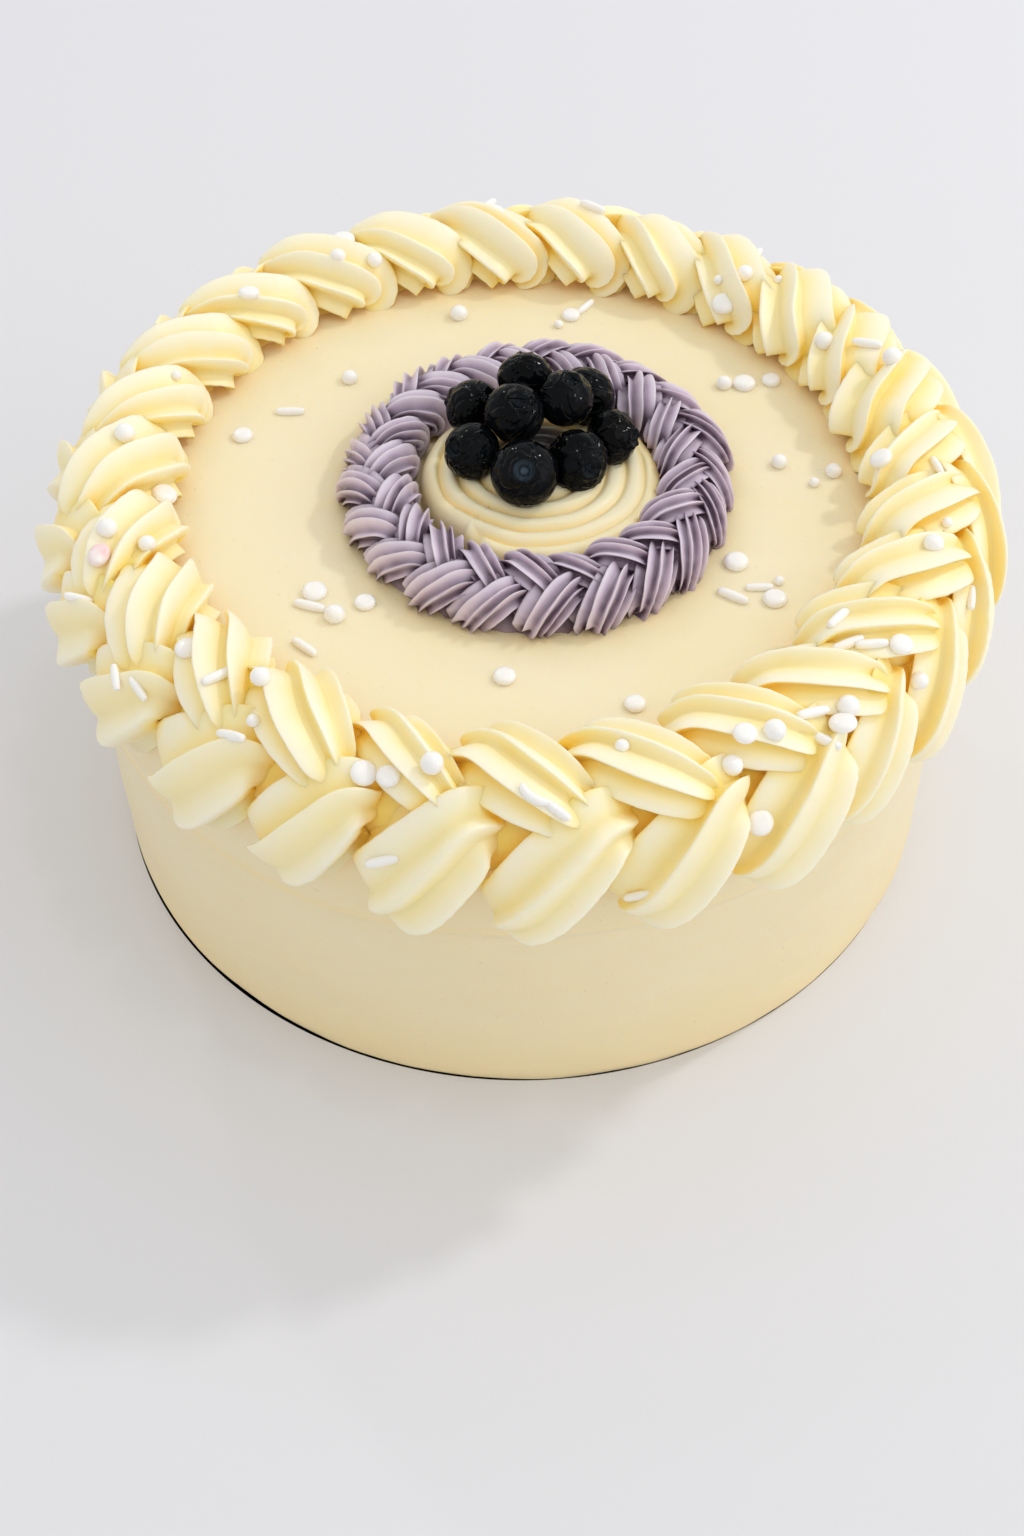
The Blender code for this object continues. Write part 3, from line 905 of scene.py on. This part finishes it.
@dataclass
class Blueberries:
    """The berries heaped on the swirl, each where its solid lies.

    Each has its crown's azimuth and lift in degrees, and its shares of wrinkle, length, girth and
    bloom.
    """

    finish: GlossFinish
    crowns: tuple[tuple[float, float], ...] = (
        (150, 10), (215, 35), (290, 62), (268, 46), (300, 20), (340, 15), (95, 30), (330, 75),
        (60, 10))
    wrinkles: tuple[float, ...] = (0.8, 0.8, 0.5, 0.3, 1.6, 1.0, 0.9, 0.6, 0.9)
    flatness: tuple[float, ...] = (0.94, 0.93, 0.95, 0.93, 0.90, 0.88, 0.80, 0.95, 0.93)
    plump: tuple[float, ...] = (1.12, 1.08, 1.16, 1.06, 1.20, 1.17, 1.06, 1.16, 1.12)
    bloom: tuple[float, ...] = (0.1, 0.15, 0.1, 1.0, 0.2, 0.2, 0.1, 0.1, 0.1)
    rim: float = 0.075
    pit: float = 0.16
    fine_fold: float = 0.016
    crease: float = 0.055
    crease_width: float = 0.13
    rings: int = 60
    around: int = 80

    def ball(self, number: int) -> tuple[Vector, float]:
        """Return the middle and the radius of a berry's solid, by its number from 1."""
        low, high = (Vector(corner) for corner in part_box(f"blueberry_{number}"))
        return 0.5 * (low + high), 0.5 * max(high - low)

    def middle(self) -> Vector:
        """Return the middle of the heap."""
        spots = [self.ball(number + 1)[0] for number in range(len(self.crowns))]
        return sum(spots, Vector()) / len(spots)

    def press(self, number: int, points: np.ndarray) -> np.ndarray:
        """Flatten a berry where its neighbours press on it.

        Args:
            number: its number, from 1.
            points: its surface.

        Returns:
            The pressed surface.
        """
        middle, radius = self.ball(number)
        for other in range(1, len(self.crowns) + 1):
            spot, size = self.ball(other)
            gap = (spot - middle).length
            if other == number or gap > 1.3 * (radius + size):
                continue
            way = np.array((spot - middle) / gap)
            face = gap * radius / (radius + size) - 0.05 * MM
            past = np.maximum((points - np.array(middle)) @ way - face, 0.0)
            points = points - past[..., None] * way
        return points

    def berry(self, number: int, material: bpy.types.Material) -> bpy.types.Object:
        """Build one berry.

        Args:
            number: its number, from 1.
            material: the skin.

        Returns:
            The berry, which stands for its solid.
        """
        name = f"blueberry_{number}"
        middle, radius = self.ball(number)
        azimuth, lift = (math.radians(angle) for angle in self.crowns[number - 1])
        axis = Vector((math.cos(lift) * math.cos(azimuth), math.cos(lift) * math.sin(azimuth),
                       math.sin(lift)))
        turn = np.array(axis.to_track_quat("Z", "Y").to_matrix())
        polar = np.linspace(0.015, math.pi - 0.02, self.rings)[:, None]
        spin = np.linspace(0.0, math.tau, self.around, endpoint=False)[None, :]
        sphere = np.stack([np.sin(polar) * np.cos(spin), np.sin(polar) * np.sin(spin),
                           np.cos(polar) * np.ones_like(spin)], axis=-1)
        degrees = np.degrees(polar)
        sepals = 0.5 + 0.5 * np.cos(5.0 * spin)
        rim = self.rim * np.exp(-((degrees - 19.0 - 2.5 * sepals) / 4.5) ** 2)
        rim = rim * (0.55 + 0.6 * sepals)
        pit = self.pit * np.exp(-(degrees / 13.0) ** 4)
        wrinkle = self.wrinkles[number - 1]
        fine = smooth_noise(sphere * np.array([1.6, 1.6, 0.9]), 40 + number, 3)
        folds = np.abs(smooth_noise(sphere * np.array([0.9, 0.9, 0.5]), 60 + number, 3))
        creases = np.exp(-(folds / self.crease_width) ** 1.5)
        size = self.plump[number - 1] * radius * (
            1.0 + rim - pit + wrinkle * (self.fine_fold * fine - self.crease * creases))
        points = sphere * size[..., None]
        points[..., 2] *= self.flatness[number - 1]
        points = self.press(number, points @ turn.T + np.array(middle))
        bloom = (np.exp(-((degrees - 3.0) / 4.0) ** 2)
                 + 0.45 * np.exp(-((degrees - 14.0) / 2.5) ** 2))
        batch = MeshBatch()
        batch.add_tube(points, self.bloom[number - 1] * bloom + np.zeros(points.shape[:2]))
        piece = batch.build(name + "_skin", material)
        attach(piece, ROOT_BODY)
        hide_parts(name)
        return piece

    def build(self) -> list[bpy.types.Object]:
        """Build every berry."""
        material = self.finish.material()
        return [self.berry(number + 1, material) for number in range(len(self.crowns))]


class SprinkleKind(Enum):
    """The kinds of sugar sprinkle; the last two are one odd piece each."""

    DISC = "disc"
    PEARL = "pearl"
    ROD = "rod"
    BEAD = "bead"
    BENT_ROD = "bent_rod"
    SMUDGED_DISC = "smudged_disc"

    @property
    def is_rod(self) -> bool:
        """Return whether it is a long one."""
        return "rod" in self.value

    @property
    def bluntness(self) -> float:
        """Return the power that shapes its edge: the lower, the blunter."""
        return 0.4 if self.is_rod else 0.55 if "disc" in self.value else 1.0


@dataclass
class Sprinkles:
    """White sugar sprinkles, one piece for each kind.

    Groups give an azimuth in degrees, a distance in millimetres and a number. `odd_ones` take
    the place of the sprinkles nearest to their azimuths on the border.
    """

    finish: GlossFinish
    smudged: GlossFinish
    seed: int = 11
    half_sizes: dict[SprinkleKind, tuple[float, float, float]] = field(default_factory=lambda: {
        SprinkleKind.DISC: (2.6 * MM, 2.6 * MM, 1.2 * MM),
        SprinkleKind.PEARL: (2.1 * MM, 2.1 * MM, 1.9 * MM),
        SprinkleKind.ROD: (3.3 * MM, 1.0 * MM, 1.0 * MM),
        SprinkleKind.BEAD: (1.3 * MM, 1.3 * MM, 1.2 * MM),
        SprinkleKind.BENT_ROD: (3.6 * MM, 1.1 * MM, 1.1 * MM),
        SprinkleKind.SMUDGED_DISC: (2.6 * MM, 2.0 * MM, 1.2 * MM),
    })
    shares: tuple[int, ...] = (4, 5, 5, 2, 0, 0)
    odd_ones: tuple[tuple[SprinkleKind, float], ...] = (
        (SprinkleKind.BENT_ROD, -88.0), (SprinkleKind.SMUDGED_DISC, -157.0))
    odd_distance: float = 95.0 * MM
    spread: float = 4.6 * MM
    apart: float = 4.4 * MM
    sink: float = 0.25
    upright: float = 0.8
    bend: float = 1.1 * MM
    size_change: float = 0.12
    above: float = 200.0 * MM
    tries: int = 40
    rings: int = 16
    around: int = 24
    on_top: tuple[tuple[int, int, int], ...] = (
        (137, 63, 1), (106, 64, 1), (79, 69, 3), (35, 68, 3), (7, 64, 3), (-34, 61, 5),
        (-73, 66, 1), (-94, 64, 1), (-138, 61, 5), (171, 66, 1), (160, 62, 1))
    on_border: tuple[tuple[int, int, int], ...] = (
        (-88, 104, 3), (-104, 98, 4), (-126, 97, 4), (-141, 100, 3), (-157, 94, 4), (-177, 86, 2),
        (160, 82, 2), (138, 95, 1), (119, 86, 5), (93, 99, 2), (74, 90, 1), (50, 89, 5),
        (32, 82, 2), (18, 90, 2), (-2, 88, 2), (-18, 96, 3), (-40, 94, 5), (-53, 102, 4),
        (-65, 102, 4), (-77, 104, 2))

    def places(self, groups: tuple[tuple[int, int, int], ...],
               rng: random.Random) -> list[tuple[SprinkleKind, float, float, float]]:
        """Draw the sprinkles of some groups, by the rule that places their solids.

        Args:
            groups: azimuth in degrees, distance in millimetres and number, for each group.
            rng: the seeded random source.

        Returns:
            A list of (kind, x, y, turn).
        """
        taken = []
        names = [kind.value for kind in SprinkleKind]
        for azimuth, distance, number in groups:
            angle = math.radians(azimuth)
            for _ in range(number):
                kind = SprinkleKind(rng.choices(names, self.shares)[0])
                turn = rng.uniform(0.0, math.tau)
                for _ in range(self.tries):
                    x = distance * MM * math.cos(angle) + rng.gauss(0.0, self.spread)
                    y = distance * MM * math.sin(angle) + rng.gauss(0.0, self.spread)
                    if all(math.hypot(x - t[1], y - t[2]) > self.apart for t in taken):
                        taken.append((kind, x, y, turn))
                        break
        return taken

    def form(self, kind: SprinkleKind) -> np.ndarray:
        """Return the rings of points of one sprinkle, about the origin."""
        polar = np.linspace(0.02, math.pi - 0.02, self.rings)[:, None]
        spin = np.linspace(0.0, math.tau, self.around, endpoint=False)[None, :]
        radial = np.sin(polar) ** kind.bluntness
        sides = [radial * np.cos(spin), radial * np.sin(spin)]
        length = [np.cos(polar) * np.ones_like(spin)]
        points = np.stack(length + sides if kind.is_rod else sides + length, axis=-1)
        points = points * np.array(self.half_sizes[kind])
        if kind is SprinkleKind.BENT_ROD:
            points[..., 1] += self.bend * (1.0 - (points[..., 0] / self.half_sizes[kind][0]) ** 2)
        return points

    def build(self, top: BVHTree, border: list[BVHTree]) -> list[bpy.types.Object]:
        """Lay every sprinkle on the surface below it.

        Args:
            top: the search tree of the iced cake.
            border: the search trees of the border's rows.

        Returns:
            One piece for each kind.
        """
        rng = random.Random(self.seed)
        batches = {kind: MeshBatch() for kind in SprinkleKind}
        jobs = [([top], place) for place in self.places(self.on_top, rng)]
        scattered = self.places(self.on_border, rng)
        for kind, azimuth in self.odd_ones:
            aim = self.odd_distance * Vector((math.cos(math.radians(azimuth)),
                                              math.sin(math.radians(azimuth))))
            away = [math.hypot(x - aim.x, y - aim.y) for _, x, y, _ in scattered]
            nearest = away.index(min(away))
            scattered[nearest] = (kind, *scattered[nearest][1:])
        jobs += [(border, place) for place in scattered]
        for trees, (kind, x, y, turn) in jobs:
            start = Vector((x, y, self.above))
            hits = [tree.ray_cast(start, Vector((0.0, 0.0, -1.0))) for tree in trees]
            hits = [hit for hit in hits if hit[0] is not None]
            if not hits:
                continue
            spot, normal, _, _ = max(hits, key=lambda hit: hit[0].z)
            if normal.z < 0.0:
                normal = -normal
            normal = (normal + Vector((0.0, 0.0, self.upright))).normalized()
            lift = self.half_sizes[kind][2] * (1.0 - 2.0 * self.sink)
            spun = Euler((0.0, 0.0, turn)).to_quaternion()
            lie = (normal.to_track_quat("Z", "Y") @ spun).to_matrix()
            points = self.form(kind) * (1.0 + self.size_change * math.sin(7.0 * turn))
            points = points @ np.array(lie).T + np.array(spot + normal * lift)
            batches[kind].add_tube(points, np.zeros(points.shape[:2]))
        pieces = []
        for kind, batch in batches.items():
            if batch.count:
                finish = self.smudged if kind is SprinkleKind.SMUDGED_DISC else self.finish
                piece = batch.build(f"sprinkle_{kind.value}s", finish.material())
                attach(piece, ROOT_BODY)
                pieces.append(piece)
        return pieces


@dataclass
class Studio:
    """A plain pale floor, soft light and the camera.

    Each light has its name, its place and its side in metres, and its watts.
    """

    lights: tuple[tuple[str, Spot, float, float], ...] = (
        ("key_light", (1.1, 0.6, 1.3), 0.11, 6.2), ("back_light", (-0.7, 1.3, 1.2), 0.08, 1.2),
        ("top_light", (0.3, -0.2, 1.6), 0.08, 0.8), ("side_light", (1.5, -0.5, 0.8), 1.2, 4.5))
    floor_colour: Colour = (0.73, 0.73, 0.76)
    floor_size: float = 12.0
    light_level: float = 0.83
    bounces: int = 8
    camera_place: Vector = field(default_factory=lambda: Vector((-2.1, -352.9, 389.7)) * MM)
    camera_aim: Vector = field(default_factory=lambda: Vector((-2.1, -5.4, 0.0)) * MM)
    lens_mm: float = 46.875

    def build(self) -> None:
        """Set up the floor, the lights and the camera."""
        self.add_floor()
        self.light_room()
        for name, place, size, power in self.lights:
            self.add_light(name, Vector(place), size, power)
        self.add_camera()

    def add_floor(self) -> None:
        """Lay the floor."""
        bpy.ops.mesh.primitive_plane_add(size=self.floor_size)
        floor = bpy.context.active_object
        floor.name = "floor"
        floor.data.materials.append(NodeKit("floor_pale").dress(
            {"Base Color": (*self.floor_colour, 1.0), "Roughness": 0.7}))

    def light_room(self) -> None:
        """Light the room evenly, and let the light reach into the creases of the cream."""
        world = bpy.data.worlds.new("studio")
        world.use_nodes = True
        background = world.node_tree.nodes["Background"]
        background.inputs["Color"].default_value = (1.0, 1.0, 1.0, 1.0)
        background.inputs["Strength"].default_value = self.light_level
        bpy.context.scene.world = world
        bpy.context.scene.view_settings.view_transform = "Standard"
        bpy.context.scene.cycles.diffuse_bounces = self.bounces

    def add_light(self, name: str, place: Vector, size: float, power: float) -> None:
        """Add one soft light that faces the cake.

        Args:
            name: its name.
            place: where it hangs.
            size: its side.
            power: its watts.
        """
        data = bpy.data.lights.new(name, "AREA")
        data.size = size
        data.energy = power
        light = bpy.data.objects.new(name, data)
        light.location = place
        light.rotation_mode = "QUATERNION"
        light.rotation_quaternion = (Vector((0, 0, 0.08)) - place).to_track_quat("-Z", "Y")
        bpy.context.scene.collection.objects.link(light)

    def add_camera(self) -> None:
        """Place the camera as the photograph was taken."""
        data = bpy.data.cameras.new("camera")
        data.lens = self.lens_mm
        data.sensor_width = 36.0
        data.clip_start = 0.01
        data.clip_end = 30.0
        camera = bpy.data.objects.new("camera", data)
        camera.location = self.camera_place
        camera.rotation_mode = "QUATERNION"
        camera.rotation_quaternion = (self.camera_aim - self.camera_place).to_track_quat("-Z", "Y")
        bpy.context.scene.collection.objects.link(camera)
        bpy.context.scene.camera = camera


def yellow_braid() -> BraidedRing:
    """Return the big yellow ring on the cake's edge."""
    return BraidedRing(
        node="yellow_border", slot="border_cream", centre=Vector((0, 0, 0)), radius=92.0 * MM,
        core_drop=3.0 * MM, pairs=26, start=93.8, crowding=4.1, crowded_at=175.5, seed=3,
        bed=(11.0 * MM, 5.5 * MM, 8.0 * MM), pushed_out=(-80.0, 28.0, 5.0),
        held_up=(-150.0, 32.0, 0.25),
        # ridge, middle and painted valley shade colours
        finish=CreamFinish("border_cream_yellow", (0.98, 0.905, 0.70), (0.99, 0.85, 0.48),
                           (1.0, 0.75, 0.13), middle_at=0.22),
        tips={
            Row.OUTER: StarTip(
                angles=(24, 86, 136, 182, 230, 284, 334), gentle=(30, 24, 18, 15, 13, 13, 14),
                steep=(20, 9, 8, 8, 8, 8, 9), points=(14, 15, 14, 12, 6, 4, 5), depth=0.38,
                lean=8),
            Row.INNER: StarTip(
                angles=(36, 82, 128, 174, 224, 290, 352), gentle=(17, 18, 18, 16, 12, 12, 14),
                steep=(8,) * 7, points=(12, 12, 12, 12, 10, 6, 8), depth=0.42, lean=8),
        },
        outer=ShellForm(
            along=(-16.6, -12.3, -6.0, 0.5, 6.0), out=(9.0, 9.8, 8.8, 6.2, 3.2),
            up=(-19.0, -13.5, -4.5, 2.2, 1.0), half_width=(11.8, 12.6, 12.2, 9.8, 5.5),
            half_height=(9.5, 10.2, 10.0, 8.0, 4.0), twist=8, petal=0.7, tilt=0,
            head_share=0.38, fin_share=0.20, facing=42, turning=0.1),
        inner=ShellForm(
            along=(-9.0, -11.0, -7.0, 1.5, 10.0), out=(-7.2, -8.4, -6.5, 1.0, 7.5),
            up=(0.4, 3.6, 7.0, 8.0, 4.5), half_width=(9.2, 10.4, 10.7, 10, 6.0),
            half_height=(5.6, 6.8, 7.7, 7.4, 4.5), twist=36, petal=0.5, tilt=0,
            head_share=0.42, fin_share=0.24, facing=75, turning=0.6))


def lavender_braid() -> BraidedRing:
    """Return the small lavender ring round the swirl."""
    return BraidedRing(
        node="lavender_border", slot="lavender_cream", centre=MIDDLE, radius=38.6 * MM,
        core_drop=1.5 * MM, pairs=21, start=90.0, seed=5, bed=(6.5 * MM, 4.4 * MM, 1.0 * MM),
        fuller_back=0.08, oval=(0.955, 1.03), rings=40,
        # ridge, middle and painted valley shade colours
        finish=CreamFinish("lavender_cream", (0.80, 0.71, 0.80), (0.60, 0.50, 0.61),
                           (0.13, 0.08, 0.12), middle_at=0.20, valley_at=0.60,
                           glow_radius=(0.0028, 0.0022, 0.0020)),
        tips={row: StarTip(angles=tuple(range(10, 350, 34)), gentle=(9.0,) * 10,
                           steep=(6.0,) * 10, points=(8, 8, 8, 8, 8, 8, 4, 3, 3, 8),
                           depth=0.42, lean=7) for row in Row},
        outer=ShellForm(
            along=(-8.2, -6.8, -3.8, 0.5, 4.5), out=(5.6, 4.9, 3.4, 1.0, -1.0),
            up=(1.2, 2.8, 4.8, 5.9, 3.6), half_width=(4.6, 5.2, 5.3, 4.6, 2.6),
            half_height=(3.2, 4.2, 4.8, 4.4, 2.4), twist=24, petal=2.2, tilt=10,
            head_share=0.06, fin_share=0.05),
        inner=ShellForm(
            along=(-5.0, -6.2, -4.4, 0.3, 4.6), out=(-5.2, -6.4, -5.2, -1.2, 2.4),
            up=(2.2, 4.8, 6.6, 6.8, 3.2), half_width=(3.8, 4.6, 5.0, 4.4, 2.4),
            half_height=(2.6, 3.8, 4.6, 4.3, 2.2), twist=44, petal=1.6, tilt=10,
            head_share=0.08, fin_share=0.06))


def report(pieces: list[bpy.types.Object]) -> None:
    """Report the pieces that are done."""
    for piece in pieces:
        log.info("built %s", piece.name)


def main() -> None:
    """Build every piece of the cake in order and report each."""
    logging.basicConfig(level=logging.INFO, format="%(name)s: %(message)s")
    Studio().build()

    # Ridge, middle and painted valley shade colours of the cake's cream
    cake = IcedCake(CreamFinish("cake_icing_cream", (0.895, 0.80, 0.555), (0.89, 0.775, 0.50),
                                (0.90, 0.72, 0.40), pore_depth=0.0002))
    icing = cake.build()
    report([icing])
    ground = cake.batch.tree()

    border = yellow_braid()
    yellow_rows = border.build()
    yellow_trees = border.trees()
    # Painted occlusion shade on the yellow rows, from what stands close to them
    paint_occlusion_shade(yellow_rows, yellow_trees + [ground], 9.0 * MM)
    report(yellow_rows)

    small = lavender_braid()
    small_rows = small.build()
    small_trees = small.trees()
    # Painted occlusion shade on the lavender rows
    paint_occlusion_shade(small_rows, small_trees + [ground], 4.0 * MM)
    report(small_rows)

    # Painted shade on the cake where the rings stand close
    paint_occlusion_shade([icing], yellow_trees + small_trees, 12.0 * MM, 5)
    # The berries' paler patch colour is painted reflection
    berries = Blueberries(GlossFinish(
        "berry_skin", (0.0006, 0.0008, 0.0010), (0.005, 0.007, 0.009), 0.06, 0.0, 0.05, 90.0,
        0.00035, level=0.080, bloom=(0.060, 0.095, 0.130)))
    # Ridge, middle and painted valley shade colours; `shade` is painted shade under the heap
    swirl = CreamSwirl(CreamFinish("swirl_cream", (0.90, 0.81, 0.55), (0.90, 0.76, 0.43),
                                   (0.92, 0.68, 0.26), shade=(0.05, 0.04, 0.04)))
    rope = swirl.build()
    # Painted occlusion shade on the swirl
    paint_occlusion_shade([rope], [swirl.batch.tree(), ground] + small_trees, 5.0 * MM)
    swirl.shade_heap(rope, berries.middle())
    report([rope])
    report(berries.build())
    sugar = GlossFinish("sprinkle_sugar", (0.93, 0.91, 0.87), (0.95, 0.93, 0.90), 0.3, 0.2, 0.15,
                        300.0, 0.00003, glow=0.2)
    smudge = replace(sugar, name="sprinkle_smudge", mottle_and_reflection_colour=(0.88, 0.45, 0.49),
                     mottle_scale=220.0)
    report(Sprinkles(sugar, smudge).build(ground, yellow_trees))


if __name__ == "__main__":
    main()
